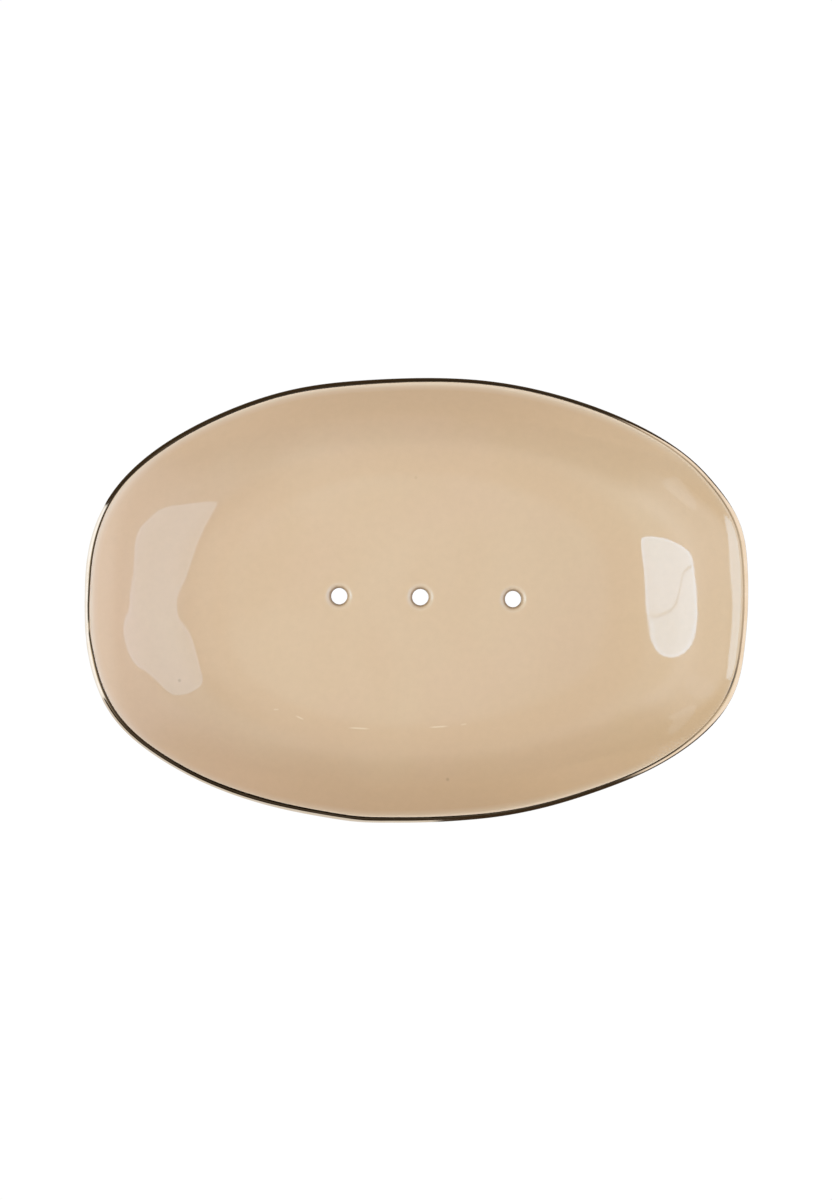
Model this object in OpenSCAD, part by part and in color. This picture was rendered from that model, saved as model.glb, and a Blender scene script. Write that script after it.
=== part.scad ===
// Oval soap dish in glazed earthenware: a shallow hand-formed bowl with three
// drain holes in its floor, a foot ring to stand on, gloss glaze inside and out,
// and a thin band of fired gold lustre on its lip.
// X runs along the dish, Y across it, Z up. The origin is the centre of the
// plane that the dish stands on.

/* [Outline] */
// Length of the dish over its lip
dish_length = 135; // [115:1:150]
// Width of the dish over its lip
dish_width = 90; // [78:0.2:104]
// Fullness of the two ends, where 2 is a plain ellipse and less is more pointed
end_fullness = 1.94; // [1.8:0.02:2.4]
// Fullness of the two long sides
side_fullness = 2.68; // [2:0.02:3.2]
// Share of the hand-formed waver that the outline keeps, 0 being a regular oval
waver = 1; // [0:0.1:1.2]

/* [Bowl] */
// Height of the clay floor's underside above the table
foot_height = 3.2; // [2.6:0.1:5]
// Thickness of the clay floor
floor_clay = 3.2; // [2.6:0.1:4.5]
// Rise of the inside wall from the floor to the start of the lip
bowl_depth = 14; // [11:0.5:18]
// Share of the half width that is flat floor
floor_share = 0.5; // [0.44:0.02:0.56]
// Power of the inside wall's curve, more being a flatter floor and a steeper wall
wall_power = 2.2; // [1.9:0.1:2.6]
// Radius of the rounded lip, glaze included
lip_radius = 0.9; // [0.8:0.05:1.4]
// Thickness of the glaze
glaze = 0.4; // [0.3:0.05:0.5]

/* [Foot ring] */
// Share of the half width at which the ring's outer wall stands
foot_share = 0.6; // [0.56:0.02:0.66]
// Width of the ring where it meets the floor
foot_width = 3.4; // [2.8:0.2:4.6]
// Radius of the four half-round notches that let water out from under the dish
notch_r = 1.5; // [1:0.1:1.8]

/* [Drain holes] */
// Finished radius of each hole
hole_r = 1.7; // [1.4:0.1:2.2]
// Radius of the soft glazed edge round the top of each hole
hole_round = 1.3; // [0.8:0.1:1.6]
// Position of each hole along the dish
hole_x = [-16.1, 0.8, 20.1];
// Position of each hole across the dish
hole_y = [0.8, 0.6, 0.2];

/* [Gold band] */
// Thickness of the lustre band
gold = 0.12; // [0.08:0.02:0.2]
// How far the band reaches in over the lip along the sides, seen from above
gold_wide = 0.9; // [0.7:0.05:1]
// How much further it reaches in at the two ends
gold_ends = 0.3; // [0:0.05:0.4]
// Where the band ends below the lip's widest line, as a share of the way over the lip
gold_to = 0.88; // [0.84:0.02:0.92]

/* [Hidden] */

// Outline. Each row of WAVER is one swell or hollow that the maker's hands left:
// its direction in degrees, its height in mm and its half-spread in degrees.
WAVER = [[12.5, 0.4, 5.5], [22, -0.12, 4], [35, -0.3, 18], [70, 0.39, 18], [120, 0.46, 15],
    [149, -0.57, 17], [202, 0.5, 8], [235, 0.6, 37], [255, 0.27, 7], [291, 0.12, 9],
    [314, -0.33, 10], [341, 0.65, 10], [352, -0.4, 6]];
half_l = dish_length / 2;
half_w = dish_width / 2;
function total(v) = v * [for (x = v) 1];
function turn(d) = d - 360 * round(d / 360);
function swell(t) = waver * total([for (w = WAVER) w[1] * exp(-pow(turn(t - w[0]) / w[2], 2))]);
// Radius of the oval in the direction whose cosine and sine are c and s, by halving.
function oval(c, s, lo, hi, n) =
    n == 0 ? (lo + hi) / 2 :
    let (mid = (lo + hi) / 2)
    pow(mid * abs(c) / half_l, end_fullness) + pow(mid * abs(s) / half_w, side_fullness) > 1
        ? oval(c, s, lo, mid, n - 1) : oval(c, s, mid, hi, n - 1);

// Directions round the dish, closer together at the ends, where it curves most.
N = 96;
DIR = [for (i = [0:N - 1]) atan2(half_w * sin(360 * i / N), half_l * cos(360 * i / N))];
OUTLINE = [for (t = DIR) oval(cos(t), sin(t), half_w / 2, half_l * 1.2, 34) + swell(t)];

// Levels.
base_z = foot_height - glaze;                    // glazed underside
clay_top = foot_height + floor_clay;             // clay floor
floor_z = clay_top + glaze;                      // glazed floor that the soap lies on
inner_top = floor_z + bowl_depth;                // where the inside wall meets the lip

// Section, ring by ring: NI steps up the inside wall, NL over the lip, NO down the
// outside wall. Each entry is [distance from the axis, height, normal out, normal up].
NI = 11;
NL = 8;
NO = 9;
K = NI + NL + NO;
function mix(a, b, f) = a + (b - a) * f;
function lip_slope(i) = atan(bowl_depth * wall_power / (1 - floor_share) / (OUTLINE[i] - 1.72 * lip_radius));
// The band's upper edge is painted by hand, so it wanders a little.
function brush(t) = 0.02 * sin(3 * t + 40) + 0.015 * sin(7 * t - 65) + 0.008 * sin(13 * t + 20);
function gold_from(i) = brush(DIR[i])
    + (90 + lip_slope(i) - acos(1 - (gold_wide + gold_ends * pow(cos(DIR[i]), 8)) / lip_radius)) / 180;
function lip_step(i, j) = let (g = gold_from(i))
    [0, g / 3, g * 2 / 3, g, mix(g, gold_to, 0.25), mix(g, gold_to, 0.5), mix(g, gold_to, 0.75), gold_to, 1][j];
function inner_at(i, u) =
    let (edge = OUTLINE[i] - lip_radius * (1 + sin(lip_slope(i))),
         f = max(0, (u - floor_share) / (1 - floor_share)),
         a = atan(bowl_depth * wall_power / (1 - floor_share) * pow(f, wall_power - 1) / edge))
    [u * edge, floor_z + bowl_depth * pow(f, wall_power), -sin(a), cos(a)];
function lip_at(i, share) =
    let (a = lip_slope(i),
         p = inner_at(i, 1),
         c = [p[0] + lip_radius * sin(a), p[1] - lip_radius * cos(a)],
         t = 90 + a - 180 * share)
    [c[0] + lip_radius * cos(t), c[1] + lip_radius * sin(t), cos(t), sin(t)];
function outer_at(i, v) =
    let (p = lip_at(i, 1),
         rise = p[1] - base_z,
         q = tan(lip_slope(i)) * (1 - foot_share) * p[0] / rise,
         f = max(0, (v - foot_share) / (1 - foot_share)),
         a = atan(rise * q * pow(f, q - 1) / (1 - foot_share) / p[0]))
    [v * p[0], base_z + rise * pow(f, q), sin(a), -cos(a)];
function section(i, k) =
    k < NI ? inner_at(i, mix(floor_share, 1, pow(k / NI, 0.85))) :
    k < NI + NL ? lip_at(i, lip_step(i, k - NI)) :
    outer_at(i, mix(1, foot_share, (k - NI - NL) / NO));
SECT = [for (i = [0:N - 1]) [for (k = [0:K]) section(i, k)]];

SEAM = NI + 4;           // ring where the inner and the outer glaze meet, under the gold
GOLD_A = NI + 3;         // ring of the band's upper edge
GOLD_B = NI + 7;         // ring of the band's lower edge

// Points of ring k, moved off the finished surface by d.
function ring(k, d) = [for (i = [0:N - 1])
    let (p = SECT[i][k], r = p[0] + d * p[2]) [r * cos(DIR[i]), r * sin(DIR[i]), p[1] + d * p[3]]];
function flat(v) = [for (a = v) for (b = a) b];
// Triangles between row j and row j + 1 of a stack of rings, seen from outside.
function strip(a, b) = flat([for (i = [0:N - 1]) let (n = (i + 1) % N)
    [[a + i, a + n, b + n], [a + i, b + n, b + i]]]);
function turned(faces) = [for (f = faces) [for (i = [len(f) - 1:-1:0]) f[i]]];
function disc(a) = [[for (i = [N - 1:-1:0]) a + i]];

// Closed skin from ring k1 to ring k2, between offsets lo and hi. From ring 0 it
// takes in the flat floor too.
module skin(k1, k2, lo, hi) {
    m = k2 - k1 + 1;
    top = flat([for (k = [k1:k2]) ring(k, hi)]);
    low = flat([for (k = [k1:k2]) ring(k, lo)]);
    L = N * m;
    polyhedron(
        points = concat(top, low),
        faces = concat(
            flat([for (j = [0:m - 2]) strip(j * N, (j + 1) * N)]),
            turned(flat([for (j = [0:m - 2]) strip(L + j * N, L + (j + 1) * N)])),
            strip((m - 1) * N, L + (m - 1) * N),
            k1 == 0 ? concat(disc(0), turned(disc(L))) : turned(strip(0, L))),
        convexity = 6);
}

// Solid bounded by the finished surface moved inwards by d: the clay itself.
module core(d) {
    polyhedron(
        points = flat([for (k = [0:K]) ring(k, -d)]),
        faces = concat(
            flat([for (k = [0:K - 1]) strip(k * N, (k + 1) * N)]),
            disc(0),
            turned(disc(K * N))),
        convexity = 6);
}

// Copies its children to each drain hole.
module at_holes() {
    for (i = [0:len(hole_x) - 1]) translate([hole_x[i], hole_y[i], 0]) children();
}

// Half section of a drain hole whose wall is d wider than the finished one, from
// height lo to hi, opening with a quarter round up to the floor at height top.
function quarter(d, top) = [for (a = [180:-15:90])
    [hole_r + hole_round + (hole_round - d) * cos(a), top - hole_round + d + (hole_round - d) * sin(a)]];
module drain(d, top, lo, hi) {
    rotate_extrude($fn = 64)
        polygon(concat([[0, lo], [hole_r + d, lo]], quarter(d, top), [[hole_r + hole_round, hi], [0, hi]]));
}
// The soft lower edge of a finished hole.
module drain_foot(r = 0.25) {
    rotate_extrude($fn = 64)
        polygon(concat([[0, base_z - 1], [hole_r + r, base_z - 1]],
            [for (a = [90:-30:0]) [hole_r + r - r * cos(a), base_z + r - r * sin(a)]],
            [[0, base_z + r]]));
}

module clay_body() color([0.80, 0.70, 0.58])
    difference() {
        core(glaze);
        at_holes() drain(glaze, clay_top, foot_height - 1, clay_top + 1);
    }

// Foot ring, as offsets from its outer wall and heights, going down and round.
function foot_steps() = [[0, foot_height], [0, base_z], [-0.3, 0.6], [-0.7, 0],
    [0.7 - foot_width, 0], [0.3 - foot_width, 0.6], [-foot_width, base_z], [-foot_width, foot_height]];
function foot_wall(i) = foot_share * SECT[i][K - NO][0];
module foot_ring() color([0.84, 0.75, 0.64]) {
    steps = foot_steps();
    m = len(steps);
    difference() {
        polyhedron(
            points = flat([for (s = steps) [for (i = [0:N - 1])
                let (r = foot_wall(i) + s[0]) [r * cos(DIR[i]), r * sin(DIR[i]), s[1]]]]),
            faces = flat([for (j = [0:m - 1]) strip(j * N, ((j + 1) % m) * N)]),
            convexity = 6);
        for (a = [0, 90, 180, 270]) rotate([0, 90, a])
            translate([0, 0, foot_share * half_w / 2]) cylinder(r = notch_r, h = foot_share * half_l, $fn = 48);
    }
}

// The gloss glaze of the inside, which also runs down through the drain holes.
module inner_glaze() color([0.87, 0.77, 0.65])
    difference() {
        union() {
            skin(0, SEAM, -glaze, 0);
            at_holes() drain(glaze, clay_top, base_z, clay_top + glaze / 2);
        }
        at_holes() {
            drain(0, floor_z, base_z - 1, floor_z + 1);
            drain_foot();
        }
    }

// The gloss glaze of the outside wall, from under the gold down to the foot ring.
module outer_glaze() color([0.85, 0.74, 0.61]) skin(SEAM, K, -glaze, 0);

// The glaze of the underside, inside the foot ring.
module base_glaze() color([0.84, 0.73, 0.60])
    difference() {
        translate([0, 0, base_z]) linear_extrude(glaze)
            polygon([for (i = [0:N - 1]) let (r = foot_wall(i) - foot_width) [r * cos(DIR[i]), r * sin(DIR[i])]]);
        at_holes() translate([0, 0, base_z - 1]) cylinder(r = hole_r + glaze, h = glaze + 2, $fn = 64);
    }

// The fired gold band. Its two edges feather out to nothing on the glaze.
module gold_rim() color([0.80, 0.62, 0.34]) {
    m = GOLD_B - GOLD_A + 1;
    L = N * m;
    polyhedron(
        points = concat(
            flat([for (k = [GOLD_A:GOLD_B]) ring(k, 0)]),
            flat([for (k = [GOLD_A + 1:GOLD_B - 1]) ring(k, gold)])),
        faces = concat(
            turned(flat([for (j = [0:m - 2]) strip(j * N, (j + 1) * N)])),
            strip(0, L),
            flat([for (j = [0:m - 4]) strip(L + j * N, L + (j + 1) * N)]),
            strip(L + (m - 3) * N, (m - 1) * N)),
        convexity = 6);
}

clay_body();
foot_ring();
inner_glaze();
outer_glaze();
base_glaze();
gold_rim();
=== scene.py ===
import math
import bmesh
import bpy
import numpy as np
from mathutils import Matrix, Vector
from mathutils.geometry import delaunay_2d_cdt


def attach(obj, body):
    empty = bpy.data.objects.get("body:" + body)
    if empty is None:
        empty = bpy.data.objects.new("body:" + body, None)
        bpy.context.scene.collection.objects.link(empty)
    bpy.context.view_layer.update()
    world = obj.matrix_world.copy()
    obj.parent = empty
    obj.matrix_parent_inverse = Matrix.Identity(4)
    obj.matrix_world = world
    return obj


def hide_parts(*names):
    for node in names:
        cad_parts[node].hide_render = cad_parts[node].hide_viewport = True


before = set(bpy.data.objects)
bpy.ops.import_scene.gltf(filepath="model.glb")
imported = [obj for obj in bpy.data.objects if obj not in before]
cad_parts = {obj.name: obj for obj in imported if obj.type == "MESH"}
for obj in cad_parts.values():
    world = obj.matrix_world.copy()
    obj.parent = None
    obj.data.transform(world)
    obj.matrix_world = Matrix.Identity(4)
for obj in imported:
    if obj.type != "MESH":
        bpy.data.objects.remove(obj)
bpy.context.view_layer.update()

# Everything below is worked out in millimetres, as in the construction, and
# written to the meshes in metres.
MM = 0.001

# ---------------------------------------------------------------- the dish's form
HALF_L, HALF_W = 67.5, 45.0
END_FULL, SIDE_FULL = 1.94, 2.68
WAVER = [(12.5, 0.4, 5.5), (22, -0.12, 4), (35, -0.3, 18), (70, 0.39, 18), (120, 0.46, 15),
         (149, -0.57, 17), (202, 0.5, 8), (235, 0.6, 37), (255, 0.27, 7), (291, 0.12, 9),
         (314, -0.33, 10), (341, 0.65, 10), (352, -0.4, 6)]
FOOT_H, GLAZE, CLAY_TOP = 3.2, 0.4, 6.4
BASE_Z, FLOOR_Z = FOOT_H - GLAZE, CLAY_TOP + GLAZE
DEPTH, FLOOR_SHARE, WALL_POWER, LIP = 14.0, 0.5, 2.2, 0.9
FOOT_SHARE, FOOT_W, NOTCH_R = 0.6, 3.4, 1.5
HOLE_R, HOLE_ROUND = 1.7, 1.3
HOLES = [(-16.1, 0.8), (0.8, 0.6), (20.1, 0.2)]
GOLD_TO = 0.88

N = 288
_t = 2 * np.pi * np.arange(N) / N
DIR = np.arctan2(HALF_W * np.sin(_t), HALF_L * np.cos(_t))
COS, SIN = np.cos(DIR), np.sin(DIR)
DEG = np.degrees(DIR) % 360


def outline(deg):
    """The outline's distance from the axis in each direction."""
    deg = np.asarray(deg, float)
    c, s = np.abs(np.cos(np.radians(deg))), np.abs(np.sin(np.radians(deg)))
    lo, hi = np.full(deg.shape, HALF_W / 2), np.full(deg.shape, HALF_L * 1.2)
    for _ in range(40):
        mid = (lo + hi) / 2
        big = (mid * c / HALF_L) ** END_FULL + (mid * s / HALF_W) ** SIDE_FULL > 1
        hi, lo = np.where(big, mid, hi), np.where(big, lo, mid)
    r = (lo + hi) / 2
    for at, high, wide in WAVER:
        d = (deg - at + 180) % 360 - 180
        r = r + high * np.exp(-(d / wide) ** 2)
    return r


R_OUT = outline(DEG)
SLOPE = np.arctan(DEPTH * WALL_POWER / (1 - FLOOR_SHARE) / (R_OUT - 1.72 * LIP))
EDGE = R_OUT - LIP * (1 + np.sin(SLOPE))


def smooth(a, b, x):
    t = np.clip((np.asarray(x, float) - a) / (b - a), 0, 1)
    return t * t * (3 - 2 * t)


def ripple(x, y):
    """The slight unevenness of hand-laid glaze, in mm."""
    return (0.016 * np.sin(0.155 * x + 0.9 + 0.8 * np.sin(0.11 * y)) * np.sin(0.19 * y + 0.4)
            + 0.006 * np.sin(0.33 * y - 0.21 * x + 2.1) + 0.003 * np.sin(0.47 * x + 0.29 * y))


def share_at(width):
    """The share of the way over the lip that lies so far in from the outline."""
    return (np.pi / 2 + SLOPE - np.arccos(np.clip(1 - width / LIP, -1, 1))) / np.pi


# The inner and the outer glaze meet under the gold.
SEAM = 0.75 * share_at(0.9 + 0.3 * COS ** 8) + 0.25 * GOLD_TO


def put(rho, z):
    return np.stack([rho * COS, rho * SIN, np.broadcast_to(z, rho.shape)], -1)


def inner_ring(u, d=0.0, wavy=True):
    f = max(0.0, (u - FLOOR_SHARE) / (1 - FLOOR_SHARE))
    a = np.arctan(DEPTH * WALL_POWER / (1 - FLOOR_SHARE) * f ** (WALL_POWER - 1) / EDGE)
    rho, z = u * EDGE, np.full(N, FLOOR_Z + DEPTH * f ** WALL_POWER)
    if wavy:
        d = d + ripple(rho * COS, rho * SIN) * smooth(FLOOR_SHARE, 0.62, u) * (1 - smooth(0.93, 1.0, u))
    return put(rho - d * np.sin(a), z + d * np.cos(a))


def lip_turn(share):
    """Direction of the lip's surface, as an angle from level outwards."""
    return np.pi / 2 + SLOPE - np.pi * share


def lip_ring(share, d=0.0):
    rc = EDGE + LIP * np.sin(SLOPE)
    zc = FLOOR_Z + DEPTH - LIP * np.cos(SLOPE)
    t = lip_turn(np.broadcast_to(share, (N,)))
    return put(rc + (LIP + d) * np.cos(t), zc + (LIP + d) * np.sin(t))


def outer_ring(v, d=0.0):
    rc = EDGE + LIP * np.sin(SLOPE)
    zc = FLOOR_Z + DEPTH - LIP * np.cos(SLOPE)
    r1, z1 = rc + LIP * np.sin(SLOPE), zc - LIP * np.cos(SLOPE)
    rise = z1 - BASE_Z
    q = np.tan(SLOPE) * (1 - FOOT_SHARE) * r1 / rise
    f = max(0.0, (v - FOOT_SHARE) / (1 - FOOT_SHARE))
    a = np.arctan(rise * q * (f ** (q - 1) if f > 0 else 0) / (1 - FOOT_SHARE) / r1)
    return put(v * r1 + d * np.sin(a), BASE_Z + rise * (f ** q if f > 0 else 0) - d * np.cos(a))


R_FOOT = FOOT_SHARE * (EDGE + 2 * LIP * np.sin(SLOPE))


# ---------------------------------------------------------------- mesh building
class Builder:
    """Collects rings and faces, then makes one mesh object in metres."""

    def __init__(self):
        self.v, self.f, self.marks, self.n = [], [], {}, 0

    def ring(self, pts, **marks):
        start, k = self.n, len(pts)
        self.v.append(np.asarray(pts, float))
        self.n += k
        for key, value in marks.items():
            self.marks.setdefault(key, []).append((start, np.broadcast_to(value, (k,)).astype(float)))
        return start

    def join(self, a, b, k, flip=False):
        """Quads between two rings of k points that start at a and b."""
        i = np.arange(k)
        n = (i + 1) % k
        q = np.stack([a + i, b + i, b + n, a + n], 1)
        self.f += (q[:, ::-1] if flip else q).tolist()

    def stack(self, starts, k, flip=False):
        for a, b in zip(starts, starts[1:]):
            self.join(a, b, k, flip)

    def make(self, name, sharp=38):
        co = np.concatenate(self.v) * MM
        me = bpy.data.meshes.new(name)
        me.from_pydata(co.tolist(), [], self.f)
        for key, parts in self.marks.items():
            layer = me.attributes.new(key, "FLOAT", "POINT")
            values = np.zeros(self.n)
            for start, value in parts:
                values[start:start + len(value)] = value
            layer.data.foreach_set("value", values.astype(np.float32))
        me.validate()
        bm = bmesh.new()
        bm.from_mesh(me)
        bmesh.ops.recalc_face_normals(bm, faces=bm.faces)
        for face in bm.faces:
            face.smooth = True
        for e in bm.edges:
            e.smooth = not (len(e.link_faces) == 2 and e.calc_face_angle(0) > math.radians(sharp))
        bm.to_mesh(me)
        bm.free()
        ob = bpy.data.objects.new(name, me)
        bpy.context.scene.collection.objects.link(ob)
        return ob


def circle(cx, cy, r, z, k):
    a = 2 * np.pi * np.arange(k) / k
    return np.stack([cx + r * np.cos(a), cy + r * np.sin(a), np.full(k, float(z))], 1)


def within(x, y, loop):
    """Whether a point lies inside a closed loop of points."""
    x1, y1 = loop[:, 0], loop[:, 1]
    x2, y2 = np.roll(x1, -1), np.roll(y1, -1)
    crossed = (y1 > y) != (y2 > y)
    at = x1[crossed] + (y - y1[crossed]) / (y2[crossed] - y1[crossed]) * (x2[crossed] - x1[crossed])
    return np.count_nonzero(at > x) % 2 == 1


def plate(outer, rings, step=2.4):
    """Triangles that fill the plan between an outer ring and round holes.
    Returns the added inside points and the triangles, as indexes into
    outer + every hole ring + the inside points."""
    hole_r = [(np.mean(r[:, :2], 0), np.hypot(*(r[0, :2] - np.mean(r[:, :2], 0)))) for r in rings]
    rad = np.hypot(outer[:, 0], outer[:, 1])
    ang = np.arctan2(outer[:, 1], outer[:, 0])
    order = np.argsort(ang)

    def limit(x, y):
        return np.interp(math.atan2(y, x), ang[order], rad[order], period=2 * np.pi)

    inside = []
    rows = int(HALF_W / step) + 2
    for j in range(-rows, rows + 1):
        for i in range(-40, 41):
            x, y = (i + 0.5 * (j % 2)) * step, j * step * 0.866
            if math.hypot(x, y) > limit(x, y) - 0.6 * step:
                continue
            if any(math.hypot(x - c[0], y - c[1]) < r + 0.45 * step for c, r in hole_r):
                continue
            inside.append((x, y))
    pts = np.concatenate([outer[:, :2]] + [r[:, :2] for r in rings] + [np.array(inside)])
    edges, start = [], 0
    for loop in [outer] + rings:
        k = len(loop)
        edges += [(start + i, start + (i + 1) % k) for i in range(k)]
        start += k
    out = delaunay_2d_cdt([Vector(p) for p in pts], edges, [], 0, 1e-6, True)
    where = [ids[0] for ids in out[3]]
    tris = []
    for f in out[2]:
        f = [where[i] for i in f]
        c = pts[f].mean(0)
        if not within(*c, outer) or any(within(*c, r) for r in rings):
            continue
        a, b, d = pts[f[0]], pts[f[1]], pts[f[2]]
        if (b[0] - a[0]) * (d[1] - a[1]) - (b[1] - a[1]) * (d[0] - a[0]) < 0:
            f = f[::-1]
        tris.append(f)
    return np.array(inside), tris


# Inner glaze: floor, wall, inner half of the lip and the lining of the holes,
# all one closed skin.
b = Builder()
wall_u = [FLOOR_SHARE + (1 - FLOOR_SHARE) * (j / 46) ** 0.9 for j in range(47)]
lip_s = [SEAM * j / 16 for j in range(1, 17)]


def inward(pts):
    return R_OUT - np.hypot(pts[:, 0], pts[:, 1])


def thinned(pts):
    """How pale the glaze is: thin glaze over the lip with a painted highlight along it, fully at the lip, less further
    in and weaker at the +X end.
    """
    return (1 - smooth(1.45, 2.5, inward(pts))) * (1 - 0.75 * smooth(0.80, 0.92, COS))


# The lip's own slope is less glossy at the +X end. Its pale colour is thin glaze and a painted highlight.
front = [b.ring(pts, thin=thinned(pts), matt=smooth(0.80, 0.92, COS) * (1 - smooth(1.38, 1.48, inward(pts)))) for pts in [inner_ring(u) for u in wall_u] + [lip_ring(s) for s in lip_s]]
back = [b.ring(pts) for pts in [inner_ring(u, -GLAZE, False) for u in wall_u] + [lip_ring(s, -GLAZE) for s in lip_s]]
b.stack(front, N)
b.stack(back, N, True)
b.join(front[-1], back[-1], N)
K = 64
flare = HOLE_R + HOLE_ROUND
mouth_front, mouth_back = [], []
for hx, hy in HOLES:
    # pale glaze round the mouth, thin there and also a painted highlight, and painted shade, in brown, where it turns
    # down into the hole
    steps = [(flare + 0.35, FLOOR_Z, 0.0, 0.0), (flare + 0.12, FLOOR_Z, 0.1, 0.0)]
    steps += [(flare - HOLE_ROUND * math.sin(a), FLOOR_Z - HOLE_ROUND + HOLE_ROUND * math.cos(a),
               (0.1 + 0.6 * smooth(0, 0.3, a)) * (1 - smooth(0.65, 0.95, a)), smooth(0.6, 0.95, a)) for a in np.radians(np.arange(0, 91, 7.5))]
    low = 0.25
    steps += [(HOLE_R, z, 0.0, 1.0) for z in (4.7, 3.9, BASE_Z + low)]
    steps += [(HOLE_R + low - low * math.cos(a), BASE_Z + low - low * math.sin(a), 0.0, 0.6) for a in np.radians([30, 60, 90])]
    steps += [(HOLE_R + GLAZE, BASE_Z, 0.0, 0.3), (HOLE_R + GLAZE, 4.0, 0.0, 0.0), (HOLE_R + GLAZE, FLOOR_Z - HOLE_ROUND, 0.0, 0.0)]
    steps += [(flare - (HOLE_ROUND - GLAZE) * math.sin(a), FLOOR_Z - HOLE_ROUND + (HOLE_ROUND - GLAZE) * math.cos(a), 0.0, 0.0)
              for a in np.radians(np.arange(75, -1, -15))]
    steps += [(flare + 0.35, CLAY_TOP, 0.0, 0.0)]
    starts = [b.ring(circle(hx, hy, r, z, K), thin=t, stain=d, dull=1.0) for r, z, t, d in steps]
    b.stack(starts, K, True)
    mouth_front.append(starts[0])
    mouth_back.append(starts[-1])
loops = [circle(hx, hy, flare + 0.35, FLOOR_Z, K) for hx, hy in HOLES]
outer_loop = inner_ring(FLOOR_SHARE)
mid, tris = plate(outer_loop, loops)


def floor_faces(z, outer_start, mouth_starts, flip):
    m = b.ring(np.c_[mid, np.full(len(mid), z)])
    index = np.concatenate([outer_start + np.arange(N)] + [s + np.arange(K) for s in mouth_starts] + [m + np.arange(len(mid))])
    b.f += [[int(index[i]) for i in (t[::-1] if flip else t)] for t in tris]


floor_faces(FLOOR_Z, front[0], mouth_front, False)
floor_faces(CLAY_TOP, back[0], mouth_back, True)
inner = b.make("inner_glaze_skin")

# Outer glaze: outer half of the lip and the outside wall down to the foot ring.
b = Builder()
out_s = [SEAM + (1 - SEAM) * j / 14 for j in range(15)]
out_v = [1 - (1 - FOOT_SHARE) * (j / 34) for j in range(1, 35)]
# Paler where the glaze is thin over the lip and near the foot; on the lip this is also a painted highlight.
front = [b.ring(lip_ring(s), thin=1 - 0.5 * smooth(0.7, 1, s)) for s in out_s]
front += [b.ring(outer_ring(v), thin=0.5 * smooth(0.9, 1.0, v) + 0.35 * (1 - smooth(FOOT_SHARE, 0.63, v))) for v in out_v]
back = [b.ring(lip_ring(s, -GLAZE)) for s in out_s] + [b.ring(outer_ring(v, -GLAZE)) for v in out_v]
b.stack(front, N)
b.stack(back, N, True)
b.join(front[-1], back[-1], N)
b.join(front[0], back[0], N, True)
outer = b.make("outer_glaze_skin")

# Underside glaze, inside the foot ring.
b = Builder()
edge_in = np.stack([(R_FOOT - FOOT_W) * COS, (R_FOOT - FOOT_W) * SIN, np.full(N, BASE_Z)], 1)
loops = [circle(hx, hy, HOLE_R + GLAZE, BASE_Z, K) for hx, hy in HOLES]
mid, tris = plate(edge_in, loops)
levels = []
for z in (BASE_Z, FOOT_H):
    up = np.array([0, 0, z - BASE_Z])
    starts = [b.ring(edge_in + up)] + [b.ring(l + up) for l in loops] + [b.ring(np.c_[mid, np.full(len(mid), z)])]
    sizes = [N] + [K] * len(loops) + [len(mid)]
    index = np.concatenate([s + np.arange(k) for s, k in zip(starts, sizes)])
    b.f += [[int(index[i]) for i in (t if z > BASE_Z else t[::-1])] for t in tris]
    levels.append(starts)
b.join(levels[0][0], levels[1][0], N, True)
for j in range(len(loops)):
    b.join(levels[0][1 + j], levels[1][1 + j], K)
base = b.make("base_glaze_plate")

# Foot ring: soft-edged bare clay, with four half-round drain notches.
b = Builder()
steps = [(0, FOOT_H), (0, BASE_Z), (-0.16, 1.6), (-0.28, 0.75)]
steps += [(-0.78 + 0.5 * math.cos(a), 0.5 - 0.5 * math.sin(a)) for a in np.radians(np.arange(15, 91, 15))]
steps += [(-FOOT_W - x, z) for x, z in steps[::-1]]
starts = [b.ring(np.stack([(R_FOOT + x) * COS, (R_FOOT + x) * SIN, np.full(N, float(z))], 1)) for x, z in steps]
b.stack(starts + [starts[0]], N, True)
foot = b.make("foot_ring_clay")
cutters = []
for k in range(4):
    a = k * math.pi / 2
    reach, half = (HALF_L, HALF_W)[k % 2] * 0.44, 9.0
    me = bpy.data.meshes.new("notch")
    bm = bmesh.new()
    bmesh.ops.create_cone(bm, cap_ends=True, segments=48, radius1=NOTCH_R * MM, radius2=NOTCH_R * MM, depth=2 * half * MM)
    bm.to_mesh(me)
    bm.free()
    c = bpy.data.objects.new("notch", me)
    far = np.interp(math.degrees(a) % 360, np.r_[DEG, 360], np.r_[R_FOOT, R_FOOT[0]]) - FOOT_W / 2
    c.matrix_world = Matrix.Translation(Vector((far * math.cos(a), far * math.sin(a), 0)) * MM) @ Matrix.Rotation(a, 4, "Z") @ Matrix.Rotation(math.pi / 2, 4, "Y")
    bpy.context.scene.collection.objects.link(c)
    cutters.append(c)
bpy.context.view_layer.update()
for c in cutters:
    mod = foot.modifiers.new("cut", "BOOLEAN")
    mod.operation, mod.solver, mod.object = "DIFFERENCE", "EXACT", c
done = bpy.data.meshes.new_from_object(foot.evaluated_get(bpy.context.evaluated_depsgraph_get()))
foot.modifiers.clear()
foot.data = done
for c in cutters:
    bpy.data.objects.remove(c)
bm = bmesh.new()
bm.from_mesh(foot.data)
bmesh.ops.remove_doubles(bm, verts=bm.verts, dist=4e-6)
bmesh.ops.dissolve_degenerate(bm, edges=bm.edges, dist=4e-6)
bmesh.ops.triangulate(bm, faces=[face for face in bm.faces if len(face.verts) > 4])
for face in bm.faces:
    face.smooth = True
for e in bm.edges:
    e.smooth = not (len(e.link_faces) == 2 and e.calc_face_angle(0) > math.radians(32))
bm.to_mesh(foot.data)
bm.free()

# Gold band: brushed on by hand, so both its edges wander, and the stroke ends
# in a step where it meets its own start.
b = Builder()


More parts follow.
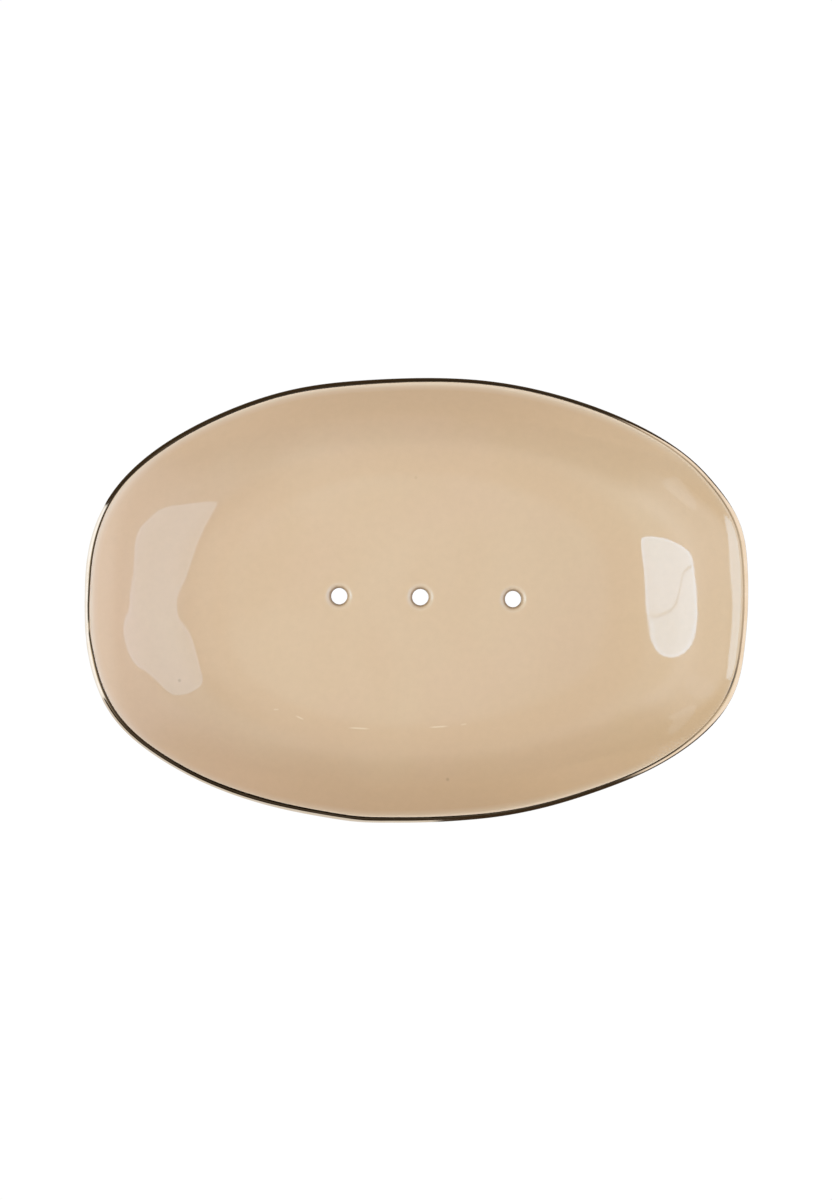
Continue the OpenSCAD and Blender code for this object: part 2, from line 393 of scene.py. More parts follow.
def brush(deg):
    r = np.radians(deg)
    return 0.02 * np.sin(3 * r + 0.7) + 0.015 * np.sin(7 * r - 1.1) + 0.008 * np.sin(13 * r + 0.35)


def fine(deg, seed):
    r = np.radians(deg)
    return 0.006 * np.sin(29 * r + seed) + 0.004 * np.sin(53 * r + 2 * seed) + 0.003 * np.sin(97 * r + 3 * seed)


# How far the stroke reaches in over the lip, in mm, by direction round the dish,
# how strongly its brown inner margin shows there, and how far that margin is a
# mere film that the glaze shows through.
REACH = [(0, 1.09), (5, 1.12), (10, 1.16), (15, 1.12), (20, 1.05), (30, 1.03), (36, 1.02), (42, 0.88), (62, 0.78), (82, 0.80), (98, 0.88),
         (110, 0.97), (124, 0.92), (134, 0.98), (150, 1.07), (158, 0.90), (162, 0.95), (167, 1.14), (171, 1.20), (176, 1.19), (181, 1.03),
         (186, 1.08), (190, 1.30), (196, 1.30), (203, 1.33), (212, 1.34), (220, 1.30), (230, 1.36), (240, 1.30), (250, 1.22), (262, 1.14),
         (274, 1.09), (284, 1.04), (300, 0.99), (318, 1.00), (325, 1.03), (330, 1.10), (335, 1.24), (340, 1.33), (345, 1.31), (350, 1.09),
         (354, 1.04)]
STAIN = [(0, 0.95), (10, 0.8), (18, 0.85), (36, 0.75), (44, 1.0), (186, 1.0), (190, 1.0), (196, 1.4), (204, 2.0), (226, 2.3), (240, 2.2), (247, 1.8), (258, 1.5), (268, 1.3), (280, 1.0)]
FILM = [(0, 0.80), (5, 0.74), (10, 0.60), (15, 0.46), (20, 0.32), (25, 0.40), (30, 0.54), (36, 0.42), (42, 0.10), (196, 0.08), (204, 0.0), (278, 0.0),
        (290, 0.10), (319, 0.08), (325, 0.09), (330, 0.16), (333, 0.36), (337, 0.66), (341, 0.70), (343, 0.40), (345, 0.12), (347, 0.20), (350, 0.50),
        (355, 0.66)]


def by_direction(table, deg):
    at, value = np.array(table, float).T
    return np.interp(deg, at, value, period=360)


reach = by_direction(REACH, DEG) + 0.25 * (brush(DEG) + fine(DEG, 1.0))
top_edge = share_at(reach)
low_edge = GOLD_TO + fine(DEG, 2.4)
stain = by_direction(STAIN, DEG) * (1 - 0.6 * np.exp(-((DEG - 184.6) / 0.5) ** 2))
film = by_direction(FILM, DEG)
thickness_and_shade = 0.07
# Rows across the stroke, closer together over its inner margin.
across = [0, 0.03, 0.06, 0.10, 0.14, 0.18, 0.22, 0.27, 0.33, 0.39, 0.45, 0.52, 0.59, 0.66, 0.73, 0.80, 0.87, 0.93, 0.97, 1.0]
starts = []
for f in across:
    share = top_edge + (low_edge - top_edge) * f
    rise = 0.012 + (thickness_and_shade - 0.012) * float(smooth(0, 0.12, min(f, 1 - f)))
    inside = LIP * (1 - np.cos(lip_turn(share)))
    wide = 0.12 + 0.26 * stain
    brown = np.minimum(1.0, stain) * (1 - smooth(0.75 * wide, 1.15 * wide, reach - inside)) if f < 0.6 else 0.0
    starts.append(b.ring(lip_ring(share, rise), margin=brown, film=film, along=f))
under = [b.ring(lip_ring(top_edge + (low_edge - top_edge) * j / 6, 0.0), margin=0.0, film=0.0, along=j / 6) for j in range(7)]
b.stack(starts, N)
b.stack(under, N, True)
b.join(starts[-1], under[-1], N)
b.join(starts[0], under[0], N, True)
gold = b.make("gold_lustre_band")


# ---------------------------------------------------------------- materials
class Nodes:
    def __init__(self, tree):
        self.t = tree
        tree.nodes.clear()

    def add(self, kind, **props):
        n = self.t.nodes.new(kind)
        for key, value in props.items():
            if key.startswith("in_"):
                key = key[3:]
                n.inputs[int(key) if key.isdigit() else key.replace("_", " ")].default_value = value
            else:
                setattr(n, key, value)
        return n

    def link(self, a, b):
        self.t.links.new(a, b)

    def math(self, op, a, b=0.0, c=None, clamp=False):
        n = self.t.nodes.new("ShaderNodeMath")
        n.operation, n.use_clamp = op, clamp
        for i, x in enumerate([a, b] + ([c] if c is not None else [])):
            if isinstance(x, (int, float)):
                n.inputs[i].default_value = x
            else:
                self.t.links.new(x, n.inputs[i])
        return n.outputs[0]

    def ramp(self, x, lo, hi, out_lo=0.0, out_hi=1.0, soft=True):
        n = self.t.nodes.new("ShaderNodeMapRange")
        n.interpolation_type = "SMOOTHSTEP" if soft else "LINEAR"
        n.clamp = True
        for i, v in zip((1, 2, 3, 4), (lo, hi, out_lo, out_hi)):
            n.inputs[i].default_value = v
        self.t.links.new(x, n.inputs[0])
        return n.outputs[0]

    def mix(self, fac, a, b, blend="MIX"):
        n = self.t.nodes.new("ShaderNodeMix")
        n.data_type, n.blend_type = "RGBA", blend
        for sock, x in ((n.inputs[0], fac), (n.inputs[6], a), (n.inputs[7], b)):
            if isinstance(x, (int, float)):
                sock.default_value = x
            elif isinstance(x, tuple):
                sock.default_value = x + (1,)
            else:
                self.t.links.new(x, sock)
        return n.outputs[2]

    def noise(self, vec, scale, detail=3.0, rough=0.5, warp=0.0):
        n = self.add("ShaderNodeTexNoise")
        n.inputs["Scale"].default_value = scale
        n.inputs["Detail"].default_value = detail
        n.inputs["Roughness"].default_value = rough
        n.inputs["Distortion"].default_value = warp
        self.t.links.new(vec, n.inputs["Vector"])
        return n.outputs["Fac"]


def material(name):
    m = bpy.data.materials.new(name)
    m.use_nodes = True
    k = Nodes(m.node_tree)
    out = k.add("ShaderNodeOutputMaterial")
    p = k.add("ShaderNodeBsdfPrincipled")
    k.link(p.outputs[0], out.inputs[0])
    pos = k.add("ShaderNodeTexCoord").outputs["Object"]
    return m, k, p, pos


# Two larger pits in the inside glaze, in mm from the middle.
PITS = [(-48.9, -16.6), (6.4, -36.9)]
# Painted highlights, as faint pale lines low on the front wall: place, direction in
# degrees, half length in mm and strength.
GLINT_LINES = [(-11.9, -26.6, -3, 2.6, 0.6), (4.6, -26.3, 4, 2.3, 0.6), (-24.2, -24.4, -25, 1.1, 0.5), (-29.1, -22.7, 0, 0.7, 0.4),
             (9.8, -25.8, 10, 0.8, 0.35)]


def glaze(name, tone=1.0, thin=True, stained=False):
    """Gloss beige glaze: pale where it is thin, with a painted highlight at the lip and the hole mouths;
    painted shade, darker and a little warmer, on the wall; soft clouds, fine mottling and a few pinholes."""
    m, k, p, pos = material(name)
    # Colour of the painted shade on the wall: darker and a little warmer.
    shade_colour = tuple(tone * c for c in (0.656, 0.474, 0.312))
    body = tuple(tone * c for c in (0.681, 0.524, 0.374))
    pale = tuple(tone * c for c in (0.715, 0.585, 0.460))
    clouds = k.ramp(k.noise(pos, 26, 2, 0.5, 0.6), 0.36, 0.66)
    col = k.mix(clouds, body, tuple(tone * c for c in (0.667, 0.503, 0.351)))
    rosy = k.ramp(k.noise(pos, 41, 2, 0.5, 0.3), 0.45, 0.7)
    col = k.mix(k.math("MULTIPLY", rosy, 0.5), col, tuple(tone * c for c in (0.687, 0.515, 0.378)))
    sep = k.add("ShaderNodeSeparateXYZ")
    k.link(pos, sep.inputs[0])
    # Painted shade: darker up the wall and in a band low on it, with less of it towards +X near the long walls.
    upper_wall_shade = k.ramp(sep.outputs[2], 0.0102, 0.0170)
    low_wall_shade = k.math("MULTIPLY", k.ramp(sep.outputs[2], 0.0069, 0.0075), k.ramp(sep.outputs[2], 0.0105, 0.0085))
    less_shade_right = k.math("MULTIPLY", k.ramp(sep.outputs[0], 0.012, 0.035), k.ramp(k.math("ABSOLUTE", sep.outputs[1]), 0.021, 0.027))
    upper_wall_shade = k.math("MULTIPLY", upper_wall_shade, k.math("SUBTRACT", 0.50, k.math("MULTIPLY", less_shade_right, 0.34)))
    col = k.mix(k.math("ADD", upper_wall_shade, k.math("MULTIPLY", low_wall_shade, 0.45)), col, shade_colour)
    # More painted shade high on the middle of the long walls.
    side = k.math("ABSOLUTE", sep.outputs[0])
    thickness_and_shade = k.math("MULTIPLY", k.ramp(sep.outputs[2], 0.0130, 0.0160), k.ramp(side, 0.036, 0.010))
    col = k.mix(thickness_and_shade, col, tuple(tone * c for c in (0.636, 0.474, 0.326)))
    mottle = k.ramp(k.noise(pos, 620, 3, 0.6), 0.3, 0.7, 0.985, 1.015, False)
    bright = k.add("ShaderNodeVectorMath", operation="SCALE")
    k.link(col, bright.inputs[0])
    k.link(mottle, bright.inputs["Scale"])
    col = bright.outputs[0]
    vor = k.add("ShaderNodeTexVoronoi")
    vor.inputs["Scale"].default_value = 160
    vor.inputs["Randomness"].default_value = 1.0
    k.link(pos, vor.inputs["Vector"])
    dot = k.ramp(vor.outputs["Distance"], 0.035, 0.065, 1.0, 0.0)
    few = k.add("ShaderNodeSeparateColor")
    k.link(vor.outputs["Color"], few.inputs[0])
    speck = k.math("MULTIPLY", dot, k.ramp(few.outputs[0], 0.975, 0.98))
    col = k.mix(k.math("MULTIPLY", speck, 0.22), col, (0.36, 0.23, 0.13))
    # Paler where the glaze is thin; at the lip and round the hole mouths this is also a painted highlight.
    if thin:
        at = k.add("ShaderNodeAttribute", attribute_name="thin")
        col = k.mix(at.outputs["Fac"], col, pale)
    # Inside only: pits, painted highlights as pale glints, and painted shade down the hole throats.
    if stained:
        for x, y in PITS:
            off = k.add("ShaderNodeVectorMath", operation="DISTANCE")
            flat = k.add("ShaderNodeCombineXYZ")
            k.link(sep.outputs[0], flat.inputs[0])
            k.link(sep.outputs[1], flat.inputs[1])
            k.link(flat.outputs[0], off.inputs[0])
            off.inputs[1].default_value = (x * MM, y * MM, 0)
            col = k.mix(k.ramp(off.outputs["Value"], 0.0005, 0.0001, 0.0, 0.30), col, (0.22, 0.14, 0.09))
        # Painted highlights: thin pale glints low on the front wall.
        for x, y, turn, half, strength in GLINT_LINES:
            c, sn = math.cos(math.radians(turn)), math.sin(math.radians(turn))
            east = k.math("SUBTRACT", sep.outputs[0], x * MM)
            north = k.math("SUBTRACT", sep.outputs[1], y * MM)
            run = k.math("ABSOLUTE", k.math("ADD", k.math("MULTIPLY", east, c), k.math("MULTIPLY", north, sn)))
            off = k.math("ABSOLUTE", k.math("SUBTRACT", k.math("MULTIPLY", north, c), k.math("MULTIPLY", east, sn)))
            glint = k.math("MULTIPLY", k.ramp(run, half * MM, 0.3 * half * MM), k.ramp(off, 0.00023, 0.00006))
            col = k.mix(k.math("MULTIPLY", glint, strength), col, (0.86, 0.75, 0.61))
        # Painted shade, in brown, down the throats of the drain holes.
        at = k.add("ShaderNodeAttribute", attribute_name="stain")
        col = k.mix(k.math("MULTIPLY", at.outputs["Fac"], 0.42), col, (0.20, 0.13, 0.085))
    k.link(col, p.inputs["Base Color"])
    rough = k.ramp(k.noise(pos, 70, 2), 0.3, 0.7, 0.035, 0.055, False)
    if stained:
        at = k.add("ShaderNodeAttribute", attribute_name="dull")
        rough = k.math("ADD", rough, k.math("MULTIPLY", at.outputs["Fac"], 0.17))
        at = k.add("ShaderNodeAttribute", attribute_name="matt")
        rough = k.math("ADD", rough, k.math("MULTIPLY", at.outputs["Fac"], 0.50))
    k.link(rough, p.inputs["Roughness"])
    p.inputs["IOR"].default_value = 1.5
    bump = k.add("ShaderNodeBump")
    bump.inputs["Strength"].default_value = 0.015
    bump.inputs["Distance"].default_value = 0.0004
    k.link(k.noise(pos, 210, 2, 0.45), bump.inputs["Height"])
    k.link(bump.outputs[0], p.inputs["Normal"])
    return m


def bare_clay(name, light, dark):
    """Fired clay with no glaze: matt, with fine grog and a wiped, sandy surface."""
    m, k, p, pos = material(name)
    col = k.mix(k.ramp(k.noise(pos, 120, 4, 0.6), 0.35, 0.65), light, dark)
    grit = k.noise(pos, 2600, 3, 0.7)
    col = k.mix(k.ramp(grit, 0.58, 0.72), col, tuple(0.72 * c for c in dark))
    k.link(col, p.inputs["Base Color"])
    k.link(k.ramp(grit, 0.3, 0.7, 0.78, 0.92, False), p.inputs["Roughness"])
    bump = k.add("ShaderNodeBump")
    bump.inputs["Strength"].default_value = 0.35
    bump.inputs["Distance"].default_value = 0.00012
    k.link(grit, bump.inputs["Height"])
    k.link(bump.outputs[0], p.inputs["Normal"])
    return m


def lustre(name):
    """Fired gold lustre: bright where it lies full, brown where it thins at the
    two margins of the stroke, with faint brush lines along the band."""
    m, k, p, pos = material(name)
    at = k.add("ShaderNodeAttribute", attribute_name="margin")
    along = k.add("ShaderNodeAttribute", attribute_name="along")
    wear = k.noise(pos, 240, 3, 0.6)
    gold_tone = k.mix(k.ramp(wear, 0.35, 0.7), (0.83, 0.64, 0.46), (0.79, 0.59, 0.40))
    film = k.add("ShaderNodeAttribute", attribute_name="film")
    brown = k.mix(film.outputs["Fac"], (0.045, 0.028, 0.016), (0.60, 0.44, 0.30))
    col = k.mix(at.outputs["Fac"], gold_tone, brown)
    k.link(col, p.inputs["Base Color"])
    see_through = k.math("MULTIPLY", k.ramp(at.outputs["Fac"], 0.0, 0.7), k.ramp(film.outputs["Fac"], 0.05, 0.35))
    k.link(k.math("SUBTRACT", 1.0, see_through), p.inputs["Metallic"])
    p.inputs["Specular IOR Level"].default_value = 0.15
    lines = k.noise(pos, 900, 2, 0.5)
    k.link(k.ramp(lines, 0.3, 0.7, 0.05, 0.09, False), p.inputs["Roughness"])
    return m


mat_in = glaze("glaze_inside", stained=True)
mat_out = glaze("glaze_outside", 0.98)
mat_base = glaze("glaze_underside", 0.97, thin=False)
mat_foot = bare_clay("clay_foot", (0.70, 0.56, 0.42), (0.60, 0.45, 0.31))
mat_clay = bare_clay("clay_hidden", (0.66, 0.51, 0.37), (0.56, 0.41, 0.28))
mat_gold = lustre("gold_lustre")
for ob, mat, node, slot in ((inner, mat_in, "inner_glaze", "glaze_inside"), (outer, mat_out, "outer_glaze", "glaze_outside"),
                            (base, mat_base, "base_glaze", "glaze_underside"), (foot, mat_foot, "foot_ring", "foot_clay"),
                            (gold, mat_gold, "gold_rim", "gold_lustre")):
    ob.data.materials.clear()
    ob.data.materials.append(mat)
    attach(ob, "root")
    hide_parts(node)
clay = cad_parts["clay_body"]
for s in clay.material_slots:
    s.material = mat_clay

# ---------------------------------------------------------------- floor, light, camera
scene = bpy.context.scene
scene.view_settings.view_transform = "Standard"
me = bpy.data.meshes.new("floor")
me.from_pydata([(-3, -3, 0), (3, -3, 0), (3, 3, 0), (-3, 3, 0)], [], [(0, 1, 2, 3)])
floor = bpy.data.objects.new("floor", me)
scene.collection.objects.link(floor)
m = bpy.data.materials.new("floor_white")
m.use_nodes = True
k = Nodes(m.node_tree)
out, em = k.add("ShaderNodeOutputMaterial"), k.add("ShaderNodeEmission")
em.inputs[0].default_value = (1, 1, 1, 1)
em.inputs[1].default_value = 1.02
k.link(em.outputs[0], out.inputs[0])
me.materials.append(m)
floor.visible_diffuse = floor.visible_glossy = floor.visible_transmission = floor.visible_shadow = False

world = bpy.data.worlds.new("studio")
scene.world = world
world.use_nodes = True
k = Nodes(world.node_tree)
out = k.add("ShaderNodeOutputWorld")
path = k.add("ShaderNodeLightPath")
sep = k.add("ShaderNodeSeparateXYZ")
ray = k.add("ShaderNodeTexCoord").outputs["Generated"]
k.link(ray, sep.inputs[0])
dx, dy, dz = sep.outputs


def lobe(azimuth, elevation, power=6.0):
    """A soft round patch of light: cosine to a power about one direction."""
    a, e = math.radians(azimuth), math.radians(elevation)
    n = k.add("ShaderNodeVectorMath", operation="DOT_PRODUCT")
    k.link(ray, n.inputs[0])
    n.inputs[1].default_value = (math.cos(a) * math.cos(e), math.sin(a) * math.cos(e), math.sin(e))
    return k.math("POWER", k.math("MAXIMUM", n.outputs["Value"], 0.0), power)


def tinted(strength, rgb):
    """A strength as a colour."""
    n = k.add("ShaderNodeCombineXYZ")
    for i in range(3):
        k.link(k.math("MULTIPLY", strength, rgb[i]), n.inputs[i])
    return n.outputs[0]


def total(terms):
    out = terms[0]
    for t in terms[1:]:
        n = k.add("ShaderNodeVectorMath", operation="ADD")
        k.link(out, n.inputs[0])
        k.link(t, n.inputs[1])
        out = n.outputs[0]
    return out


# Soft light: one large source high to the left, a low one to the right that
# reaches round to the front, a weak one low on the left, and the light that
# comes back up from the pale floor.
soft = total([tinted(lobe(0, 15), (2.85, 3.50, 4.20)), tinted(lobe(45, 15), (0.75, 0.32, 0.15)),
              tinted(lobe(315, 15), (1.35, 1.00, 0.60)), tinted(lobe(180, 45), (3.47, 3.25, 2.25)),
              tinted(lobe(180, 15), (0.30, 0.60, 1.20)), tinted(lobe(225, 45), (0.0, 0.10, 0.45)),
              tinted(lobe(0, -90, 2.0), (0.72, 0.70, 0.67))])
seen = k.mix(path.outputs["Is Glossy Ray"], soft, (0.0, 0.0, 0.0))
seen = k.mix(path.outputs["Is Camera Ray"], seen, (1.02, 1.02, 1.02))
bg = k.add("ShaderNodeBackground")
k.link(seen, bg.inputs[0])
k.link(bg.outputs[0], out.inputs[0])

glazes = bpy.data.collections.new("glazes")
for ob in (inner, outer, base, foot, clay):
    glazes.objects.link(ob)
golds = bpy.data.collections.new("golds")
golds.objects.link(gold)


def only_for(ob, receivers):
    """Lets only the gloss of the given pieces see this lamp, and nothing else."""
    ob.visible_camera = ob.visible_diffuse = ob.visible_transmission = ob.visible_shadow = False
    ob.light_linking.receiver_collection = receivers


def surround(name, radius, receivers, build):
    """A far shell round the dish that stands for the room, as one kind of
    surface shows it. build gives its colour from the direction."""
    me = bpy.data.meshes.new(name)
    bm = bmesh.new()
    bmesh.ops.create_icosphere(bm, subdivisions=3, radius=radius)
    bm.to_mesh(me)
    bm.free()
    ob = bpy.data.objects.new(name, me)
    scene.collection.objects.link(ob)
    m = bpy.data.materials.new(name)
    m.use_nodes = True
    m.cycles.emission_sampling = "NONE"
    k = Nodes(m.node_tree)
    o, em, add, clear = (k.add("ShaderNode" + n) for n in ("OutputMaterial", "Emission", "AddShader", "BsdfTransparent"))
    unit = k.add("ShaderNodeVectorMath", operation="NORMALIZE")
    k.link(k.add("ShaderNodeTexCoord").outputs["Object"], unit.inputs[0])
    sep = k.add("ShaderNodeSeparateXYZ")
    k.link(unit.outputs[0], sep.inputs[0])
    dx, dy, dz = sep.outputs
    az = k.math("MULTIPLY", k.math("ARCTAN2", dy, dx), 180 / math.pi)
    k.link(build(k, dx, dy, dz, az), em.inputs[0])
    k.link(em.outputs[0], add.inputs[0])
    k.link(clear.outputs[0], add.inputs[1])
    k.link(add.outputs[0], o.inputs[0])
    me.materials.append(m)
    only_for(ob, receivers)
    return ob


def tint(k, strength, rgb):
    n = k.add("ShaderNodeCombineXYZ")
    for i in range(3):
        k.link(k.math("MULTIPLY", strength, rgb[i]), n.inputs[i])
    return n.outputs[0]


def add_up(k, terms):
    out = terms[0]
    for t in terms[1:]:
        n = k.add("ShaderNodeVectorMath", operation="ADD")
        k.link(out, n.inputs[0])
        if isinstance(t, tuple):
            n.inputs[1].default_value = t
        else:
            k.link(t, n.inputs[1])
        out = n.outputs[0]
    return out


def both(k, *masks):
    out = masks[0]
    for m in masks[1:]:
        out = k.math("MULTIPLY", out, m)
    return out


def room_for_glaze(k, dx, dy, dz, az):
    # A pale ceiling down to about a third of the way above the horizon, dark to
    # the right of it, a pale wall to the left, a bright one low on the right, a
    # pale table low on the left, and dark elsewhere.
    level = k.math("SQRT", k.math("ADD", k.math("MULTIPLY", dx, dx), k.math("MULTIPLY", dy, dy)))
    east = k.math("DIVIDE", dx, k.math("MAXIMUM", level, 0.02))
    ceiling = k.ramp(dz, 0.36, 0.66, 0.0, 1.05)
    shade = both(k, k.ramp(dx, 0.15, 0.45), k.ramp(dz, 0.95, 0.78))
    ceiling = k.math("MULTIPLY", ceiling, k.math("SUBTRACT", 1.0, k.math("MULTIPLY", shade, 0.85)))
    west = both(k, k.ramp(east, -0.50, -0.80), k.ramp(dz, 0.16, 0.26), k.ramp(dz, 0.66, 0.50))
    top = k.math("SUBTRACT", 0.30, k.math("MULTIPLY", k.math("MULTIPLY", az, az), 0.000108))
    below = k.ramp(k.math("SUBTRACT", dz, top), 0.055, -0.055)
    right = both(k, below, k.ramp(east, 0.40, 0.62), k.ramp(dz, -0.60, -0.42))
    haze = both(k, k.ramp(dz, 0.56, 0.40), k.ramp(east, 0.40, 0.70), k.ramp(dz, -0.60, -0.42))
    left = both(k, k.ramp(east, -0.88, -0.94), k.ramp(dz, 0.02, -0.06), k.ramp(dz, -0.92, -0.80))
    return add_up(k, [tint(k, ceiling, (1.0, 1.0, 1.0)), tint(k, west, (1.05, 1.30, 1.55)), tint(k, right, (0.92, 1.02, 1.00)),
                      tint(k, haze, (0.47, 0.51, 0.68)), tint(k, left, (1.9, 1.9, 1.9)), (0.030, 0.027, 0.025)])


def room_for_gold(k, dx, dy, dz, az):
    # The band shows a bright ceiling straight above, a long window on the right,
    # a taller one on the left, pale table in front on the left, and dark elsewhere.
    over = k.ramp(dz, 0.885, 0.935)
    under = k.math("SUBTRACT", 1.0, over)
    far_left = k.math("ADD", k.ramp(az, 151.4, 152.2), k.ramp(az, -154.6, -155.4))
    left = both(k, far_left, under, k.ramp(dz, 0.0, 0.35, 0.84, 1.0))
    wide = both(k, k.ramp(az, -65.5, -60.5), k.ramp(az, 64.4, 63.6))
    mid = both(k, k.ramp(az, -44, -26), k.ramp(az, 40, 24))
    low = k.math("ADD", k.math("MULTIPLY", mid, -0.74), k.ramp(az, 49, 63, -0.08, 0.60))
    right = both(k, wide, under, k.ramp(k.math("SUBTRACT", dz, low), -0.05, 0.05))
    reach = k.math("ADD", 0.38, k.math("MULTIPLY", 0.24, both(k, k.ramp(az, -110, -103), k.ramp(az, -93, -99))))
    front = both(k, k.ramp(az, -155.4, -154.6), k.ramp(az, -86.6, -87.6), k.ramp(k.math("SUBTRACT", dz, reach), 0.045, -0.045))
    table = k.ramp(dz, -0.15, -0.6)
    return add_up(k, [tint(k, left, (1.16, 1.42, 1.80)), tint(k, right, (1.02, 1.08, 1.16)), tint(k, front, (0.74, 0.84, 0.96)),
                      tint(k, over, (0.86, 0.90, 0.86)), tint(k, table, (0.05, 0.05, 0.05)), (0.042, 0.032, 0.020)])


surround("room_for_glaze", 14.0, glazes, room_for_glaze)
surround("room_for_gold", 15.0, golds, room_for_gold)

# Soft boxes that only the gloss of the glaze shows. Each is a flat panel far
# off, and its outline is given as directions from the dish: azimuth from +X
# and elevation above the table, in degrees.
FAR = 12.0


def toward(azimuth, elevation):
    a, e = math.radians(azimuth), math.radians(elevation)
    return Vector((math.cos(a) * math.cos(e), math.sin(a) * math.cos(e), math.sin(e)))


def panel(name, outline_dirs, radiance, far=FAR, soften=1, solid=False):
    dirs = [toward(*d) for d in outline_dirs]
    mid = sum(dirs, Vector()).normalized()
    pts = [d / d.dot(mid) * far for d in dirs]
    for _ in range(soften):  # corners cut off, so the outline is soft
        pts = [q for i in range(len(pts)) for q in (pts[i].lerp(pts[(i + 1) % len(pts)], 0.25), pts[i].lerp(pts[(i + 1) % len(pts)], 0.75))]
    me = bpy.data.meshes.new(name)
    me.from_pydata([tuple(q) for q in pts], [], [list(range(len(pts)))])
    ob = bpy.data.objects.new(name, me)
    scene.collection.objects.link(ob)
    m = bpy.data.materials.new(name)
    m.use_nodes = True
    kk = Nodes(m.node_tree)
    o, em, add, clear = (kk.add("ShaderNode" + n) for n in ("OutputMaterial", "Emission", "AddShader", "BsdfTransparent"))
    top = max(radiance)
    em.inputs[0].default_value = tuple(c / max(top, 1e-6) for c in radiance) + (1,)
    em.inputs[1].default_value = top
    kk.link(em.outputs[0], add.inputs[0])
    if not solid:
        kk.link(clear.outputs[0], add.inputs[1])
    kk.link(add.outputs[0], o.inputs[0])
    me.materials.append(m)
    only_for(ob, glazes)
    return ob


def ribbon(name, path_dirs, width, radiance, far):
    """A narrow panel along a line of directions. width is in degrees, at its
    first and its last point."""
    dirs = [toward(*d) for d in path_dirs]
    mid = sum(dirs, Vector()).normalized()
    pts = [d / d.dot(mid) * far for d in dirs]
    one, two = [], []
    for i, q in enumerate(pts):
        half = math.radians(width[0] + (width[1] - width[0]) * i / (len(pts) - 1)) / 2 * far
        run = (pts[min(i + 1, len(pts) - 1)] - pts[max(i - 1, 0)]).normalized()
        side = run.cross(mid).normalized() * half
        one.append(q + side)
        two.append(q - side)
    me = bpy.data.meshes.new(name)
    n = len(pts)
    me.from_pydata([tuple(q) for q in one + two], [], [(i, i + 1, n + i + 1, n + i) for i in range(n - 1)])
    ob = panel(name, path_dirs[:3], radiance, far, solid=True)
    old = ob.data
    mat = old.materials[0]
    ob.data = me
    me.materials.append(mat)
    bpy.data.meshes.remove(old)
    return ob


def border(name, outline_dirs, width, radiance, far=FAR - 0.2):
    """A strip of the given width in degrees along the inside of a panel's edge."""
    ob = panel(name, outline_dirs, radiance, far)
    edge = [v.co.copy() for v in ob.data.vertices]
    n = len(edge)
    mid = sum(edge, Vector()).normalized()
    turn = sum((edge[i].cross(edge[(i + 1) % n]) for i in range(n)), Vector()).dot(mid)
    inner = []
    for i, q in enumerate(edge):
        run = (edge[(i + 2) % n] - edge[i - 2]).normalized()
        inner.append(q + mid.cross(run).normalized() * math.copysign(math.radians(width) * far, turn))
    me = ob.data
    me.clear_geometry()
    me.from_pydata([tuple(q) for q in edge + inner], [], [(i, (i + 1) % n, n + (i + 1) % n, n + i) for i in range(n)])
    return ob


WINDOW = [(-151.5, 52.3), (-150.3, 49), (-152.6, 44), (-156.5, 39.5), (-160, 37), (-166, 33.25), (-170, 31), (-173, 30.25), (-176, 30),
          (-178.5, 29.5), (179, 28.5), (177.5, 27.75), (175.5, 27.5), (174.5, 27.5), (174, 28.5), (172.5, 30), (170.5, 32.25),
          (167.2, 37), (166.7, 41.75), (168.2, 46), (171.3, 49), (173.7, 52), (175.3, 54.6), (178.5, 56.1), (-179, 56.6), (-172, 56.9),
          (-159.5, 55.2)]
panel("box_left_main", WINDOW, (2.7, 4.85, 6.95))
border("box_left_border", WINDOW, 1.3, (0.55, 0.95, 1.5))
ribbon("box_left_cable", [(175.6, 53.7), (175.85, 47.3), (176.95, 41.4), (178.5, 38.0), (-179.55, 36.7), (-177.6, 35.8), (-176.4, 33.5), (-175.8, 31.0)],
       (0.35, 0.60), (1.6, 2.9, 3.9), 11.5)
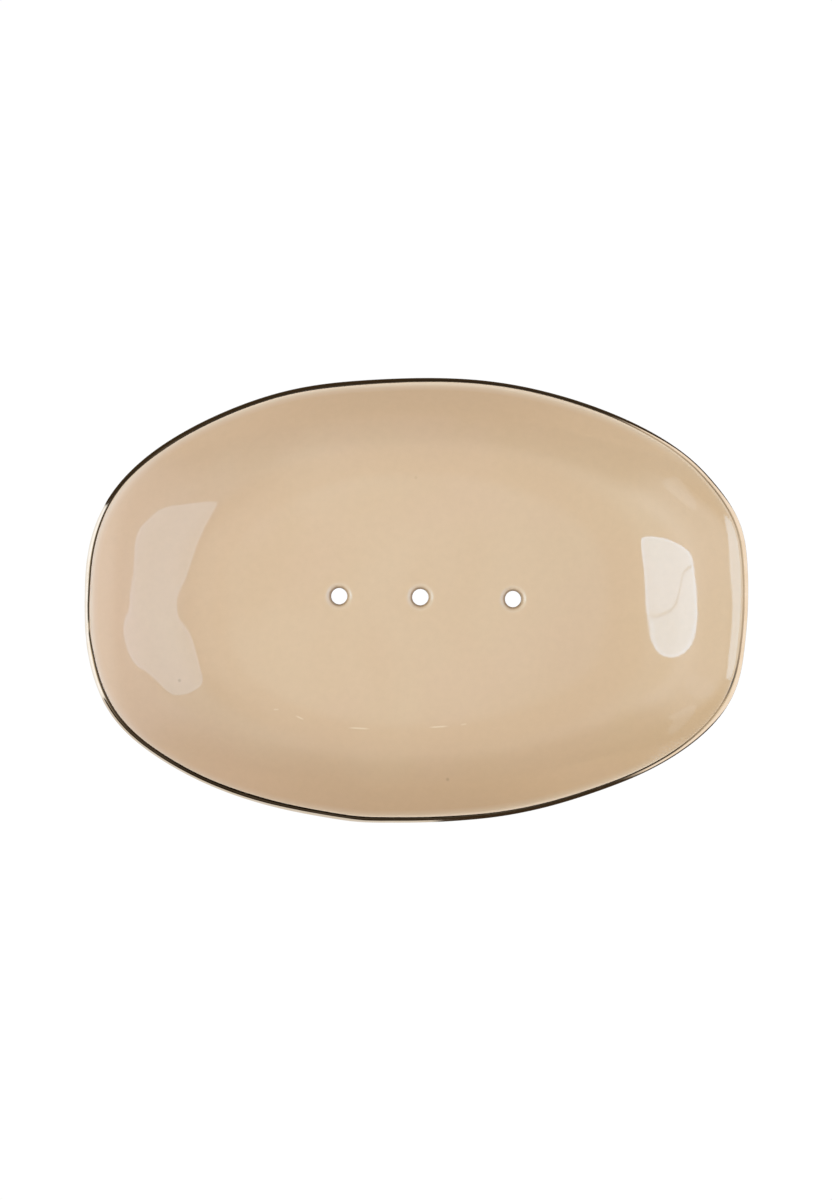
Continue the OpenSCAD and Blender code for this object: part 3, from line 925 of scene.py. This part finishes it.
panel("box_left_strip", [(-150, 9.2), (-156, 11.3), (-162, 12.5), (-168, 13.1), (-174.5, 13.2), (-178.5, 13.2), (178.5, 12.7), (176, 12.5),
                         (174, 12.5), (172, 12.5), (162, 11.6), (162.5, 10.75), (172.5, 9.9), (174.5, 9.4), (176.5, 9.2), (178.5, 9.4),
                         (-178.5, 9.6), (-175, 9.9), (-164.5, 9.9), (-155, 9.4), (-151, 9.0)], (2.8, 4.2, 5.5))
SECOND = [(-51.5, 44.5), (-49.5, 40), (-44.5, 32), (-39, 24.5), (-31, 23.5), (-23, 23), (-17.5, 24.5), (-7, 27.5), (0, 26),
          (1.5, 23), (4, 22.3), (8, 23), (15, 24.5), (19, 26.5), (20.5, 29), (26, 31), (33, 31.5),
          (38.5, 32), (40.5, 36), (41, 42.5), (39, 49.5), (34.5, 53.5), (27.5, 55.5), (21.5, 57), (14, 58), (8.5, 56.5),
          (5, 54), (2.5, 51), (0, 50), (-1, 50), (-2, 52.5), (-7.5, 56), (-18, 57), (-30, 55), (-43, 50)]
panel("box_right_main", SECOND, (0.95, 1.75, 2.45))
border("box_right_border", SECOND, 1.0, (0.30, 0.50, 0.80))
panel("box_back_left", [(-133, 17), (-130.5, 14), (-131, 9.5), (-133, 8.5), (-136.5, 10.5), (-140.5, 13), (-144, 16), (-143, 17.5),
                        (-139, 17.5), (-136, 18)], (0.6, 0.75, 0.9))
panel("box_front_left", [(141, 14), (139.5, 12.5), (134, 9.5), (127.5, 6.5), (123.5, 4.5), (125, 9), (129.5, 12), (128.5, 15), (132.5, 15.5),
                         (138, 15.5)], (0.6, 0.75, 0.9))
panel("box_front_left_high", [(160, 26), (160, 21), (157.5, 14.5), (151.5, 12.5), (145.5, 14.5), (145, 19), (147.5, 24), (154, 27)], (0.25, 0.35, 0.45))

cam_data = bpy.data.cameras.new("camera")
cam = bpy.data.objects.new("camera", cam_data)
scene.collection.objects.link(cam)
cam_data.type = "PERSP"
cam_data.sensor_fit = "VERTICAL"
cam_data.sensor_height = 36
cam_data.sensor_width = 36 * 832 / 1200
cam_data.lens = 100
cam_data.clip_start, cam_data.clip_end = 0.05, 20
cam.location = (-0.0001, 0.0, 0.6988)
cam.rotation_euler = (0, 0, 0)
scene.camera = cam
